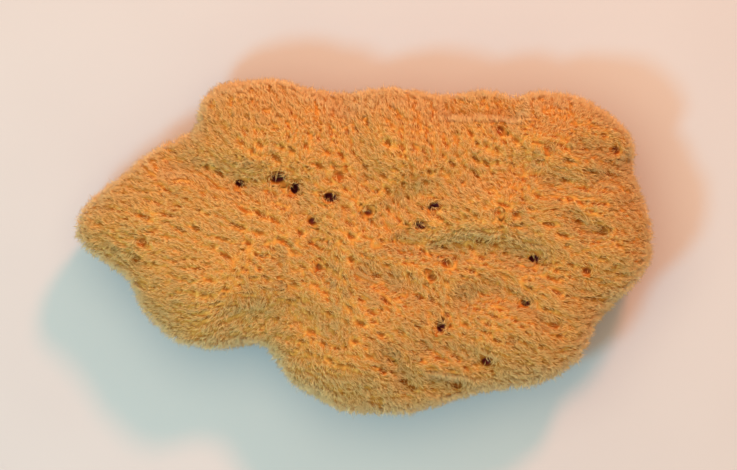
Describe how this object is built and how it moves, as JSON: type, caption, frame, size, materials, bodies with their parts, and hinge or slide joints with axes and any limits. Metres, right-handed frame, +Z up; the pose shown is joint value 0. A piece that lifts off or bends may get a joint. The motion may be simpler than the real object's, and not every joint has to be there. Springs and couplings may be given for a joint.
{
  "type": "sea sponge",
  "caption": "Dried natural sea sponge: a low lobed mass of soft fibre with folds and open pores, cut flat underneath where it grew on rock.",
  "frame": {"origin": "middle of the sponge's outline seen from above, on the level of the cut face that it rests on", "axes": "+X along the sponge's length, towards its broad end; +Y across it; +Z up, away from the cut face"},
  "size_m": [0.13, 0.0754, 0.041],
  "materials": {
    "spongin": "matt, soft dry fibre"
  },
  "bodies": {
    "root": {"sponge": "spongin"}
  },
  "joints": []
}
